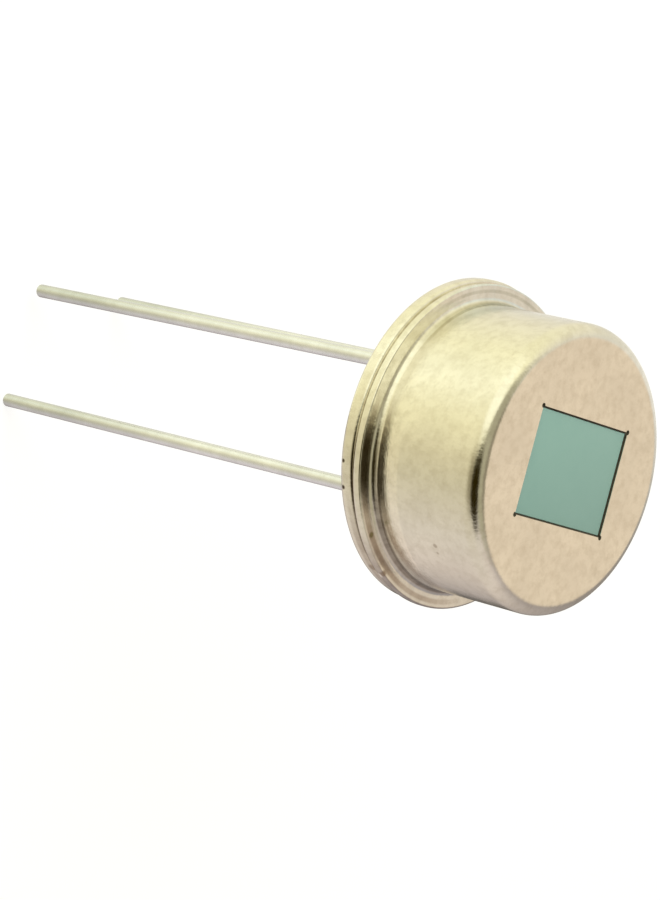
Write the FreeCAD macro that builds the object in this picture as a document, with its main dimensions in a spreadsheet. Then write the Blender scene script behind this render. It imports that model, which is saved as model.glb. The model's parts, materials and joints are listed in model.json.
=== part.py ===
import FreeCAD, Part
import math
import os
import re
import Sketcher

# Passive infrared sensor in a round metal can.
# The header carries three leads, the board and the sensing plate; the can with its window closes over them.
# The seating plane is z = 0, the window looks along +Z and the leads run down along -Z.

os.makedirs("parts", exist_ok=True)
vector = FreeCAD.Vector
doc = FreeCAD.newDocument("infrared_sensor")
sizes = doc.addObject("Spreadsheet::Sheet", "Sizes")

driving = [
    # header
    ("rim_thickness", 0.48),
    ("rim_round", 0.19),
    ("rim_top_round", 0.1),
    ("deck_clearance", 0.36),
    ("deck_height", 0.85),
    ("deck_round", 0.12),
    ("tab_reach", 0.85),
    ("tab_width", 0.8),
    # leads and their seals
    ("pin_circle_dia", 5.08),
    ("lead_dia", 0.4),
    ("lead_rise", 0.3),
    ("bend_start", 0.4),
    ("bend_run", 0.8),
    ("drain_tilt", 0.7),
    ("source_tilt", 0.95),
    ("ground_tilt", 0.6),
    ("drain_length", 15.6),
    ("source_length", 15.5),
    ("ground_length", 16.0),
    ("lead_tip_chamfer", 0.05),
    ("seal_dia", 1.5),
    ("seal_recess", 0.07),
    ("seal_climb", 0.05),
    ("braze_dia", 0.8),
    # can
    ("flange_width", 0.54),
    ("can_wall", 0.2),
    ("can_face_thickness", 0.15),
    ("can_rim_thickness", 0.3),
    ("can_rim_round", 0.14),
    ("can_rim_top_round", 0.05),
    ("can_foot_round", 0.2),
    ("can_height", 4.4),
    ("can_corner_round", 0.46),
    ("can_turn", 5.0),
    ("can_offset", 0.09),
    ("window_length", 4.0),
    ("window_width", 3.0),
    ("window_relief_dia", 0.14),
    # filter and its adhesive
    ("filter_clearance", 0.045),
    ("filter_setback", 0.05),
    ("filter_thickness", 0.5),
    ("fill_setback", 0.04),
    ("bead_width", 0.35),
    ("bead_height", 0.25),
    ("bead_round", 0.4),
    # circuit board
    ("board_margin", 0.76),
    ("board_clearance", 0.56),
    ("board_gap", 1.15),
    ("board_thickness", 0.4),
    ("board_hole_dia", 0.6),
    ("track_thickness", 0.03),
    ("track_width", 0.3),
    ("ring_dia", 1.0),
    ("joint_dia", 0.8),
    ("joint_rise", 0.2),
    ("link_dia", 0.3),
    # sensing plate and its supports
    ("support_length", 0.5),
    ("support_clearance", 0.296),
    ("support_height", 0.3),
    ("support_spacing", 3.7),
    ("pad_margin", 0.06),
    ("glue_film", 0.03),
    ("glue_climb", 0.07),
    ("glue_bead", 0.08),
    ("plate_length", 4.2),
    ("plate_width", 2.6),
    ("plate_thickness", 0.1),
    ("electrode_length", 1.0),
    ("electrode_width", 2.0),
    ("electrode_gap", 1.0),
    ("electrode_bridge", 0.25),
    ("coat_thickness", 0.02),
    # transistor and gate resistor under the board
    ("transistor_length", 2.9),
    ("transistor_width", 1.3),
    ("transistor_height", 0.9),
    ("transistor_standoff", 0.05),
    ("transistor_chamfer", 0.08),
    ("wing_span", 2.4),
    ("wing_pitch", 1.9),
    ("wing_width", 0.4),
    ("wing_thickness", 0.12),
    ("wing_foot", 0.35),
    ("solder_film", 0.03),
    ("solder_toe", 0.05),
    ("resistor_length", 1.6),
    ("resistor_width", 0.8),
    ("resistor_height", 0.45),
    ("resistor_cap", 0.3),
    ("resistor_plating", 0.03),
    ("resistor_coat", 0.02),
    ("resistor_offset", 2.15),
]

derived = [
    ("board_radius", "pin_circle_dia / 2 + board_margin"),
    ("can_inside", "board_radius + board_clearance"),
    ("can_dia", "2 * (can_inside + can_wall)"),
    ("can_radius", "can_dia / 2"),
    ("flange_dia", "can_dia + 2 * flange_width"),
    ("flange_radius", "flange_dia / 2"),
    ("tab_half", "tab_width / 2"),
    ("tab_end", "flange_radius + tab_reach"),
    ("pin_offset", "pin_circle_dia / 2 / sqrt(2)"),
    ("lead_radius", "lead_dia / 2"),
    ("bend_finish", "bend_start + bend_run"),
    ("drain_bend", "bend_run / (drain_tilt * pi / 180)"),
    ("source_bend", "bend_run / (source_tilt * pi / 180)"),
    ("ground_bend", "bend_run / (ground_tilt * pi / 180)"),
    ("seal_radius", "seal_dia / 2"),
    ("braze_radius", "braze_dia / 2"),
    ("deck_radius", "can_inside - deck_clearance"),
    ("link_radius", "link_dia / 2"),
    ("support_centre", "support_spacing / 2"),
    ("can_rim_top", "rim_thickness + can_rim_thickness"),
    ("can_ceiling", "can_height - can_face_thickness"),
    ("window_end", "window_length / 2"),
    ("window_side", "window_width / 2"),
    ("relief_radius", "window_relief_dia / 2"),
    ("filter_length", "window_length - 2 * filter_clearance"),
    ("filter_width", "window_width - 2 * filter_clearance"),
    ("filter_top", "can_height - filter_setback"),
    ("filter_bottom", "filter_top - filter_thickness"),
    ("fill_top", "can_height - fill_setback"),
    ("bead_bottom", "can_ceiling - bead_height"),
    ("board_low", "deck_height + board_gap"),
    ("board_high", "board_low + board_thickness"),
    ("track_low", "board_low - track_thickness"),
    ("track_high", "board_high + track_thickness"),
    ("lead_top", "track_high + lead_rise"),
    ("seal_low", "seal_recess"),
    ("seal_low_lead", "seal_recess - seal_climb"),
    ("seal_high", "deck_height - seal_recess"),
    ("seal_high_lead", "deck_height - seal_recess + seal_climb"),
    ("joint_radius", "joint_dia / 2"),
    ("support_width", "2 * (pin_offset - joint_radius - support_clearance)"),
    ("hole_radius", "board_hole_dia / 2"),
    ("joint_low", "track_low - joint_rise"),
    ("joint_high", "track_high + joint_rise"),
    ("support_top", "track_high + support_height"),
    ("plate_low", "support_top + glue_film"),
    ("plate_high", "plate_low + plate_thickness"),
    ("glue_high", "plate_low + glue_climb"),
    ("plate_end", "plate_length / 2"),
    ("glue_outer", "plate_length / 2 + glue_bead"),
    ("glue_inner", "support_spacing / 2 - support_length / 2"),
    ("gap_half", "electrode_gap / 2"),
    ("electrode_far", "electrode_gap / 2 + electrode_length"),
    ("electrode_half", "electrode_width / 2"),
    ("bridge_half", "electrode_bridge / 2"),
    ("seat_low", "track_low - solder_film"),
    ("foot_low", "seat_low - wing_thickness"),
    ("body_high", "seat_low - transistor_standoff"),
    ("body_low", "body_high - transistor_height"),
    ("wing_high", "body_high - transistor_height / 2 + wing_thickness / 2"),
    ("wing_low", "body_high - transistor_height / 2 - wing_thickness / 2"),
    ("wing_root", "transistor_width / 2"),
    ("wing_toe", "wing_span / 2"),
    ("wing_heel", "wing_span / 2 - wing_foot"),
    ("wing_knee", "wing_span / 2 - wing_foot + wing_thickness"),
]

for row, (name, value) in enumerate(driving + derived, start=1):
    sizes.set("A%d" % row, name)
    sizes.set("B%d" % row, "=" + value if isinstance(value, str) else str(value))
    sizes.setAlias("B%d" % row, name)
doc.recompute()


def formula(text):
    # words in a formula are names from the sheet
    return re.sub(r"[a-z][a-z_]+", lambda found: "Sizes." + found.group(0), text)


def amount(term):
    if term == "0":
        return 0.0
    if term.startswith("-"):
        return -float(sizes.get(term[1:]))
    return float(sizes.get(term))


def drive(thing, bindings):
    for path, text in bindings.items():
        thing.setExpression(path, formula(text))


def fix(sketch, kind, geometry, point, term):
    number = sketch.addConstraint(Sketcher.Constraint(kind, -1, 1, geometry, point, amount(term)))
    if term != "0":
        sketch.setExpression("Constraints[%d]" % number, formula(term))


def outline(sketch, corners):
    first = sketch.GeometryCount
    points = [vector(amount(across), amount(up), 0) for across, up in corners]
    last = len(points)
    for step in range(last):
        sketch.addGeometry(Part.LineSegment(points[step], points[(step + 1) % last]), False)
    for step in range(last):
        follower = first + (step + 1) % last
        sketch.addConstraint(Sketcher.Constraint("Coincident", first + step, 2, follower, 1))
    for step, (across, up) in enumerate(corners):
        fix(sketch, "DistanceX", first + step, 1, across)
        fix(sketch, "DistanceY", first + step, 1, up)


def rectangle(sketch, length, width):
    half = [(-0.5, -0.5), (0.5, -0.5), (0.5, 0.5), (-0.5, 0.5)]
    points = [vector(a * amount(length), b * amount(width), 0) for a, b in half]
    for step in range(4):
        sketch.addGeometry(Part.LineSegment(points[step], points[(step + 1) % 4]), False)
    for step in range(4):
        sketch.addConstraint(Sketcher.Constraint("Coincident", step, 2, (step + 1) % 4, 1))
    for side, kind in enumerate(("Horizontal", "Vertical", "Horizontal", "Vertical")):
        sketch.addConstraint(Sketcher.Constraint(kind, side))
    sketch.addConstraint(Sketcher.Constraint("Symmetric", 0, 1, 2, 1, -1, 1))
    for side, kind, term in ((0, "DistanceX", length), (1, "DistanceY", width)):
        number = sketch.addConstraint(Sketcher.Constraint(kind, side, 1, side, 2, amount(term)))
        sketch.setExpression("Constraints[%d]" % number, formula(term))


def circle(sketch, across, up, radius):
    centre = vector(amount(across), amount(up), 0)
    number = sketch.addGeometry(Part.Circle(centre, vector(0, 0, 1), amount(radius)), False)
    fix(sketch, "DistanceX", number, 3, across)
    fix(sketch, "DistanceY", number, 3, up)
    count = sketch.addConstraint(Sketcher.Constraint("Radius", number, amount(radius)))
    sketch.setExpression("Constraints[%d]" % count, formula(radius))


def new_body(name):
    body = doc.addObject("PartDesign::Body", name)
    body.Label = name
    return body


def new_sketch(body, name, role="XY_Plane", level=None):
    sketch = body.newObject("Sketcher::SketchObject", name)
    plane = [feature for feature in body.Origin.OriginFeatures if feature.Role == role][0]
    sketch.AttachmentSupport = (plane, [""])
    sketch.MapMode = "FlatFace"
    if level:
        drive(sketch, {"AttachmentOffset.Base.z": level})
    return sketch


def feature(body, kind, name, sketch, length=None):
    step = body.newObject("PartDesign::" + kind, name)
    step.Profile = sketch
    sketch.Visibility = False
    if length:
        drive(step, {"Length": length})
    return step


def revolve(body, name, corners):
    sketch = new_sketch(body, name + "_profile", "XZ_Plane")
    outline(sketch, corners)
    turned = feature(body, "Revolution", name + "_turned", sketch)
    turned.ReferenceAxis = (sketch, ["V_Axis"])
    turned.Angle = 360
    return turned


def round_edges(body, base, name, kind, size, wanted):
    # wanted lists (radius, height) pairs of full circles
    doc.recompute()
    names = []
    for number, edge in enumerate(base.Shape.Edges, start=1):
        if not isinstance(edge.Curve, Part.Circle):
            continue
        for radius, height in wanted:
            level = abs(edge.Curve.Center.z - amount(height)) < 1e-4
            if level and abs(edge.Curve.Radius - amount(radius)) < 1e-4:
                names.append("Edge%d" % number)
    step = body.newObject("PartDesign::" + kind, name)
    step.Base = (base, names)
    drive(step, {"Radius" if kind == "Fillet" else "Size": size})
    return step


def block(name, left, right, front, back, low, high):
    solid = doc.addObject("Part::Box", name)
    drive(
        solid,
        {
            "Length": "(%s) - (%s)" % (right, left),
            "Width": "(%s) - (%s)" % (back, front),
            "Height": "(%s) - (%s)" % (high, low),
            "Placement.Base.x": left,
            "Placement.Base.y": front,
            "Placement.Base.z": low,
        },
    )
    return solid


def round_bar(name, across, up, radius, low, high):
    solid = doc.addObject("Part::Cylinder", name)
    drive(
        solid,
        {
            "Radius": radius,
            "Height": "(%s) - (%s)" % (high, low),
            "Placement.Base.x": across,
            "Placement.Base.y": up,
            "Placement.Base.z": low,
        },
    )
    return solid


def join(name, members):
    whole = doc.addObject("Part::MultiFuse", name)
    whole.Shapes = members
    return whole


def group(name, members):
    whole = doc.addObject("Part::Compound", name)
    whole.Links = members
    return whole


def cut(name, base, tool):
    rest = doc.addObject("Part::Cut", name)
    rest.Base = base
    rest.Tool = tool
    return rest


# Each lead stands on the pin circle; a tab at +X marks the drain side.
pins = {
    "drain": ("pin_offset", "pin_offset"),
    "source": ("-pin_offset", "pin_offset"),
    "ground": ("-pin_offset", "-pin_offset"),
}

# Header: stamped disc with a raised deck, an index tab and three lead holes.
header = new_body("header")
turned = revolve(
    header,
    "header",
    [
        ("0", "0"),
        ("flange_radius", "0"),
        ("flange_radius", "rim_thickness"),
        ("deck_radius", "rim_thickness"),
        ("deck_radius", "deck_height"),
        ("0", "deck_height"),
    ],
)
rim = round_edges(header, turned, "header_rim", "Fillet", "rim_round", [("flange_radius", "0")])
rim_upper_edge = [("flange_radius", "rim_thickness")]
rim_top = round_edges(header, rim, "header_rim_top", "Fillet", "rim_top_round", rim_upper_edge)
deck = round_edges(header, rim_top, "header_deck", "Fillet", "deck_round", [("deck_radius", "deck_height")])
tab_sketch = new_sketch(header, "tab_outline")
tab_corners = [
    ("deck_radius", "-tab_half"),
    ("tab_end", "-tab_half"),
    ("tab_end", "tab_half"),
    ("deck_radius", "tab_half"),
]
outline(tab_sketch, tab_corners)
feature(header, "Pad", "tab", tab_sketch, "rim_thickness")
seal_holes = new_sketch(header, "seal_holes", level="deck_height")
for pin in ("drain", "source"):
    circle(seal_holes, *pins[pin], "seal_radius")
circle(seal_holes, *pins["ground"], "braze_radius")
feature(header, "Pocket", "lead_holes", seal_holes, "deck_height")

# Leads: straight through header and board, a slight bend below the seat, then straight on to the cut tip.
for pin, (across, up) in pins.items():
    lead = new_body("lead_" + pin)
    path = new_sketch(lead, pin + "_path", "XZ_Plane")
    top = amount("lead_top")
    start = amount("bend_start")
    finish = amount("bend_finish")
    radius = amount(pin + "_bend")
    swing = math.asin((finish - start) / radius)
    across_bend = radius - radius * math.cos(swing)
    run = amount(pin + "_length") - finish
    across_tip = across_bend + run * math.tan(swing)
    path.addGeometry(Part.LineSegment(vector(0, top, 0), vector(0, -start, 0)), False)
    bend = Part.Circle(vector(radius, -start, 0), vector(0, 0, 1), radius)
    path.addGeometry(Part.ArcOfCircle(bend, math.pi, math.pi + swing), False)
    tail = Part.LineSegment(vector(across_bend, -finish, 0), vector(across_tip, -finish - run, 0))
    path.addGeometry(tail, False)
    path.addConstraint(Sketcher.Constraint("PointOnObject", 0, 1, -2))
    path.addConstraint(Sketcher.Constraint("Vertical", 0))
    path.addConstraint(Sketcher.Constraint("Tangent", 0, 2, 1, 1))
    path.addConstraint(Sketcher.Constraint("Tangent", 1, 2, 2, 1))
    fix(path, "DistanceY", 0, 1, "lead_top")
    fix(path, "DistanceY", 0, 2, "-bend_start")
    fix(path, "DistanceY", 1, 2, "-bend_finish")
    fix(path, "DistanceY", 2, 2, "-" + pin + "_length")
    number = path.addConstraint(Sketcher.Constraint("Radius", 1, radius))
    path.setExpression("Constraints[%d]" % number, formula(pin + "_bend"))
    wire = new_sketch(lead, pin + "_wire", level="lead_top")
    circle(wire, "0", "0", "lead_radius")
    pipe = feature(lead, "AdditivePipe", pin + "_pipe", wire)
    pipe.Spine = (path, ["Edge1", "Edge2", "Edge3"])
    path.Visibility = False
    doc.recompute()
    ends = [(edge.CenterOfMass.z, "Edge%d" % (number + 1)) for number, edge in enumerate(pipe.Shape.Edges)]
    tip_edge = min(ends)[1]
    trim = lead.newObject("PartDesign::Chamfer", pin + "_tip")
    trim.Base = (pipe, [tip_edge])
    drive(trim, {"Size": "lead_tip_chamfer"})
    drive(lead, {"Placement.Base.x": across, "Placement.Base.y": up})
    lead.Placement.Rotation = FreeCAD.Rotation(vector(0, 0, 1), -90)

# Glass seals round the two signal leads, with a shallow meniscus each side.
for pin in ("drain", "source"):
    seal = new_body("glass_seal_" + pin)
    revolve(
        seal,
        pin + "_seal",
        [
            ("lead_radius", "seal_low_lead"),
            ("seal_radius", "seal_low"),
            ("seal_radius", "seal_high"),
            ("lead_radius", "seal_high_lead"),
        ],
    )
    drive(seal, {"Placement.Base.x": pins[pin][0], "Placement.Base.y": pins[pin][1]})

# The ground lead is brazed straight into the header.
braze = new_body("ground_lead_braze")
revolve(
    braze,
    "braze",
    [
        ("lead_radius", "0"),
        ("braze_radius", "0"),
        ("braze_radius", "deck_height"),
        ("lead_radius", "deck_height"),
    ],
)
drive(braze, {"Placement.Base.x": pins["ground"][0], "Placement.Base.y": pins["ground"][1]})

# Can: drawn cup with a flat flange, welded on the header rim. Its punched window has a small relief
# hole at each corner, so that the sharp corners of the filter go in.
can = new_body("can")
turned = revolve(
    can,
    "can",
    [
        ("can_inside", "rim_thickness"),
        ("flange_radius", "rim_thickness"),
        ("flange_radius", "can_rim_top"),
        ("can_radius", "can_rim_top"),
        ("can_radius", "can_height"),
        ("0", "can_height"),
        ("0", "can_ceiling"),
        ("can_inside", "can_ceiling"),
    ],
)
rim = round_edges(can, turned, "can_rim", "Fillet", "can_rim_round", [("flange_radius", "rim_thickness")])
rim_upper_edge = [("flange_radius", "can_rim_top")]
rim_top = round_edges(can, rim, "can_rim_upper", "Fillet", "can_rim_top_round", rim_upper_edge)
foot = round_edges(can, rim_top, "can_foot", "Fillet", "can_foot_round", [("can_radius", "can_rim_top")])
corner = round_edges(can, foot, "can_corner", "Fillet", "can_corner_round", [("can_radius", "can_height")])
inner_edge = [("can_inside", "can_ceiling")]
round_edges(can, corner, "can_inner_corner", "Fillet", "can_corner_round - can_wall", inner_edge)
window = new_sketch(can, "window_outline", level="can_height")
rectangle(window, "window_length", "window_width")
feature(can, "Pocket", "window", window, "can_face_thickness * 2")
reliefs = new_sketch(can, "window_reliefs", level="can_height")
ends = ("window_end", "-window_end")
sides = ("window_side", "-window_side")
window_corners = [(end, side) for end in ends for side in sides]
for end, side in window_corners:
    circle(reliefs, end, side, "relief_radius")
feature(can, "Pocket", "window_corners", reliefs, "can_face_thickness * 2")

# Filter: coated silicon plate standing in the window, nearly flush with the can's face.
ir_filter = new_body("ir_filter")
plate = new_sketch(ir_filter, "filter_outline", level="filter_bottom")
rectangle(plate, "filter_length", "filter_width")
feature(ir_filter, "Pad", "filter_plate", plate, "filter_thickness")

# Filter adhesive: a bead round the plate behind the face, which also fills the gap round the plate
# and the corner reliefs of the window.
bead_block = block(
    "bead_block",
    "-filter_length / 2 - bead_width",
    "filter_length / 2 + bead_width",
    "-filter_width / 2 - bead_width",
    "filter_width / 2 + bead_width",
    "bead_bottom",
    "can_ceiling",
)
doc.recompute()
upright = []
for number, edge in enumerate(bead_block.Shape.Edges, start=1):
    if abs(edge.tangentAt(edge.FirstParameter).z) > 0.9:
        upright.append((number, amount("bead_round"), amount("bead_round")))
bead = doc.addObject("Part::Fillet", "bead")
bead.Base = bead_block
bead.Edges = upright
fill = [block("fill", "-window_end", "window_end", "-window_side", "window_side", "can_ceiling", "fill_top")]
for number, (end, side) in enumerate(window_corners):
    fill.append(round_bar("corner_fill_%d" % number, end, side, "relief_radius", "can_ceiling", "fill_top"))
filter_space = block(
    "filter_space",
    "-filter_length / 2",
    "filter_length / 2",
    "-filter_width / 2",
    "filter_width / 2",
    "bead_bottom",
    "filter_top",
)
adhesive_whole = join("adhesive_whole", [bead] + fill)
filter_adhesive = cut("filter_adhesive", adhesive_whole, filter_space)

for turned_piece in (can, ir_filter, filter_adhesive):
    drive(turned_piece, {"Placement.Rotation.Angle": "-can_turn", "Placement.Base.y": "-can_offset"})

# Board: round ceramic plate with three lead holes and one filled link hole.
board = new_body("circuit_board")
disc = new_sketch(board, "board_outline", level="board_low")
circle(disc, "0", "0", "board_radius")
feature(board, "Pad", "board_plate", disc, "board_thickness")
holes = new_sketch(board, "board_holes", level="board_high")
for pin, (across, up) in pins.items():
    circle(holes, across, up, "hole_radius")
circle(holes, "-support_centre", "0", "link_radius")
feature(board, "Pocket", "board_drilled", holes, "board_thickness")

# Printed tracks: strips and rings, cleared round the lead holes.
support_far = "support_centre + support_length / 2 + pad_margin"
support_near = "support_centre - support_length / 2 - pad_margin"
support_side = "support_width / 2 + pad_margin"
pin_low = "-pin_offset - track_width / 2"
pin_high = "-pin_offset + track_width / 2"
wing_near = "wing_span / 2 - wing_foot"
wing_side = "wing_pitch / 2"
resistor_end = "resistor_length / 2"
cap_near = "resistor_length / 2 - resistor_cap"
cap_front = "-resistor_offset - resistor_width / 2"
cap_back = "-resistor_offset + resistor_width / 2"
toe_far = "wing_span / 2 + solder_toe"
gate_front = "-(wing_span / 2 - wing_foot) - track_width"
link_left = "-support_centre - track_width / 2"
link_right = "-support_centre + track_width / 2"

top_strips = [
    ("-(%s)" % support_far, "-(%s)" % support_near, "-(%s)" % support_side, support_side),
    (support_near, support_far, "-(%s)" % support_side, support_side),
    ("support_centre - track_width / 2", "support_centre + track_width / 2", pin_low, "-(support_width / 2)"),
    ("-pin_offset", "support_centre + track_width / 2", pin_low, pin_high),
]
bottom_strips = [
    # drain and source feet out to their leads
    (wing_side + " - wing_width / 2", "pin_offset", wing_near, toe_far),
    ("pin_offset - track_width / 2", "pin_offset + track_width / 2", wing_near, "pin_offset"),
    ("-pin_offset", "-(%s) + wing_width / 2" % wing_side, wing_near, toe_far),
    ("-pin_offset - track_width / 2", "-pin_offset + track_width / 2", wing_near, "pin_offset"),
    # gate foot, across to the link hole and down to the resistor
    ("-wing_width / 2", "wing_width / 2", "-(%s)" % toe_far, "-(%s)" % wing_near),
    (link_left, resistor_end, gate_front, "-(%s)" % wing_near),
    (link_left, link_right, "-(%s)" % wing_near, "track_width / 2"),
    (cap_near, resistor_end, cap_front, "-(%s)" % wing_near),
    # resistor to the ground lead
    ("-pin_offset", "-(%s)" % cap_near, cap_front, cap_back),
]
for side, strips, low, high in (
    ("top", top_strips, "board_high", "track_high"),
    ("bottom", bottom_strips, "track_low", "board_low"),
):
    members = []
    tools = []
    for number, (left, right, front, back) in enumerate(strips):
        members.append(block("%s_strip_%d" % (side, number), left, right, front, back, low, high))
    for pin, (across, up) in pins.items():
        members.append(round_bar("%s_ring_%s" % (side, pin), across, up, "ring_dia / 2", low, high))
        tools.append(round_bar("%s_hole_%s" % (side, pin), across, up, "hole_radius", low, high))
    copper = join(side + "_copper", members)
    clearing = join(side + "_clearing", tools)
    cut("board_tracks_" + side, copper, clearing)

board_link = round_bar("board_link", "-support_centre", "0", "link_radius", "board_low", "board_high")

# Solder joint on each lead, filling the board hole with a cone on both sides.
for pin, (across, up) in pins.items():
    joint = new_body("solder_joint_" + pin)
    revolve(
        joint,
        pin + "_joint",
        [
            ("lead_radius", "joint_low"),
            ("joint_radius", "track_low"),
            ("hole_radius", "track_low"),
            ("hole_radius", "track_high"),
            ("joint_radius", "track_high"),
            ("lead_radius", "joint_high"),
        ],
    )
    drive(joint, {"Placement.Base.x": across, "Placement.Base.y": up})

# Two ceramic supports carry the ends of the sensing plate above the board.
for side, sign in (("left", "-"), ("right", "")):
    support = new_body("element_support_" + side)
    foot = new_sketch(support, side + "_foot", level="track_high")
    rectangle(foot, "support_length", "support_width")
    feature(support, "Pad", side + "_block", foot, "support_height")
    drive(support, {"Placement.Base.x": sign + "support_centre"})

# Sensing plate with two front electrodes joined by a bridge and one back electrode for each.
element = new_body("sensing_element")
outline_sketch = new_sketch(element, "element_outline", level="plate_low")
rectangle(outline_sketch, "plate_length", "plate_width")
feature(element, "Pad", "element_plate", outline_sketch, "plate_thickness")

front = new_body("element_front_electrodes")
pattern = new_sketch(front, "front_pattern", level="plate_high")
outline(
    pattern,
    [
        ("-electrode_far", "-electrode_half"),
        ("-gap_half", "-electrode_half"),
        ("-gap_half", "-bridge_half"),
        ("gap_half", "-bridge_half"),
        ("gap_half", "-electrode_half"),
        ("electrode_far", "-electrode_half"),
        ("electrode_far", "electrode_half"),
        ("gap_half", "electrode_half"),
        ("gap_half", "bridge_half"),
        ("-gap_half", "bridge_half"),
        ("-gap_half", "electrode_half"),
        ("-electrode_far", "electrode_half"),
    ],
)
feature(front, "Pad", "front_coat", pattern, "coat_thickness")

back_left = block(
    "back_left",
    "-glue_inner",
    "-gap_half",
    "-electrode_half",
    "electrode_half",
    "plate_low - coat_thickness",
    "plate_low",
)
back_right = block(
    "back_right",
    "gap_half",
    "glue_inner",
    "-electrode_half",
    "electrode_half",
    "plate_low - coat_thickness",
    "plate_low",
)
group("element_back_electrodes", [back_left, back_right])

# Conductive adhesive under each end of the plate, climbing a little up its edge.
glue_parts = []
for side, sign in (("left", "-"), ("right", "")):
    glue = new_body("glue_" + side)
    section = new_sketch(glue, side + "_section", "XZ_Plane", "support_width / 2")
    outline(
        section,
        [
            (sign + "glue_inner", "support_top"),
            (sign + "plate_end", "support_top"),
            (sign + "glue_outer", "plate_low"),
            (sign + "plate_end", "glue_high"),
            (sign + "plate_end", "plate_low"),
            (sign + "glue_inner", "plate_low"),
        ],
    )
    run = feature(glue, "Pad", side + "_run", section, "support_width")
    run.Reversed = True
    glue_parts.append(glue)
group("element_adhesive", glue_parts)

# Transistor under the board: moulded body, three bent feet.
transistor = new_body("transistor_body")
case = new_sketch(transistor, "case_outline", level="body_low")
rectangle(case, "transistor_length", "transistor_width")
pad = feature(transistor, "Pad", "case_block", case, "transistor_height")
doc.recompute()
bevel = transistor.newObject("PartDesign::Chamfer", "case_bevel")
bevel.Base = (pad, ["Edge%d" % (number + 1) for number in range(len(pad.Shape.Edges))])
drive(bevel, {"Size": "transistor_chamfer"})

wings = []
for name, turn, shift in (
    ("drain_foot", 0, "wing_pitch / 2"),
    ("source_foot", 0, "-wing_pitch / 2"),
    ("gate_foot", 180, "0"),
):
    wing = new_body(name)
    section = new_sketch(wing, name + "_section", "YZ_Plane", "-wing_width / 2")
    outline(
        section,
        [
            ("wing_root", "wing_low"),
            ("wing_knee", "wing_low"),
            ("wing_knee", "foot_low"),
            ("wing_toe", "foot_low"),
            ("wing_toe", "seat_low"),
            ("wing_heel", "seat_low"),
            ("wing_heel", "wing_high"),
            ("wing_root", "wing_high"),
        ],
    )
    feature(wing, "Pad", name + "_bar", section, "wing_width")
    wing.Placement.Rotation = FreeCAD.Rotation(vector(0, 0, 1), turn)
    drive(wing, {"Placement.Base.x": shift})
    wings.append(wing)
group("transistor_leads", wings)

# Gate resistor: ceramic bar with plated ends and a dark coat, hanging under the board.
bar = block(
    "gate_resistor_body",
    "-resistor_length / 2 + resistor_plating",
    "resistor_length / 2 - resistor_plating",
    "-resistor_offset - resistor_width / 2 + resistor_plating",
    "-resistor_offset + resistor_width / 2 - resistor_plating",
    "seat_low - resistor_height + resistor_plating",
    "seat_low - resistor_plating",
)
shells = []
for side, left, right in (
    ("left", "-" + resistor_end, "-resistor_length / 2 + resistor_cap"),
    ("right", cap_near, resistor_end),
):
    shell = block("cap_" + side, left, right, cap_front, cap_back, "seat_low - resistor_height", "seat_low")
    shells.append(shell)
caps_whole = group("caps_whole", shells)
cut("gate_resistor_end_caps", caps_whole, bar)
block(
    "gate_resistor_coat",
    "-resistor_length / 2 + resistor_cap",
    cap_near,
    "-resistor_offset - resistor_width / 2 + resistor_plating * 2",
    "-resistor_offset + resistor_width / 2 - resistor_plating * 2",
    "seat_low - resistor_height + resistor_plating - resistor_coat",
    "seat_low - resistor_height + resistor_plating",
)

# Solder films between the parts and the board.
films = []
for name, shift, front_edge, back_edge in (
    ("drain_film", "wing_pitch / 2", wing_near, toe_far),
    ("source_film", "-wing_pitch / 2", wing_near, toe_far),
    ("gate_film", "0", "-(%s)" % toe_far, "-(%s)" % wing_near),
):
    left = shift + " - wing_width / 2"
    right = shift + " + wing_width / 2"
    films.append(block(name, left, right, front_edge, back_edge, "seat_low", "track_low"))
for name, left, right in (
    ("ground_end_film", "-" + resistor_end, "-(%s)" % cap_near),
    ("gate_end_film", cap_near, resistor_end),
):
    films.append(block(name, left, right, cap_front, cap_back, "seat_low", "track_low"))
group("component_solder", films)

doc.recompute()

nodes = [
    "can",
    "ir_filter",
    "filter_adhesive",
    "header",
    "lead_drain",
    "lead_source",
    "lead_ground",
    "glass_seal_drain",
    "glass_seal_source",
    "ground_lead_braze",
    "circuit_board",
    "board_tracks_top",
    "board_tracks_bottom",
    "board_link",
    "solder_joint_drain",
    "solder_joint_source",
    "solder_joint_ground",
    "element_support_left",
    "element_support_right",
    "sensing_element",
    "element_front_electrodes",
    "element_back_electrodes",
    "element_adhesive",
    "transistor_body",
    "transistor_leads",
    "component_solder",
    "gate_resistor_body",
    "gate_resistor_end_caps",
    "gate_resistor_coat",
]

for thing in doc.Objects:
    faults = {"Invalid", "Error"} & set(thing.State)
    if faults:
        raise RuntimeError("%s is %s" % (thing.Name, thing.getStatusString()))
for name in nodes:
    piece = doc.getObject(name)
    shape = piece.Shape
    if shape.isNull() or not shape.isValid() or not shape.Solids:
        raise RuntimeError("%s has no sound shape" % name)
    span = "z %8.3f to %8.3f" % (shape.BoundBox.ZMin, shape.BoundBox.ZMax)
    print("%-26s solids %d  volume %9.4f  %s" % (name, len(shape.Solids), shape.Volume, span))
for name in nodes:
    doc.getObject(name).Shape.exportStep("parts/%s.step" % name)
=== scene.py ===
import json
import math

import bmesh
import bpy
from mathutils import Matrix, Vector, noise


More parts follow.
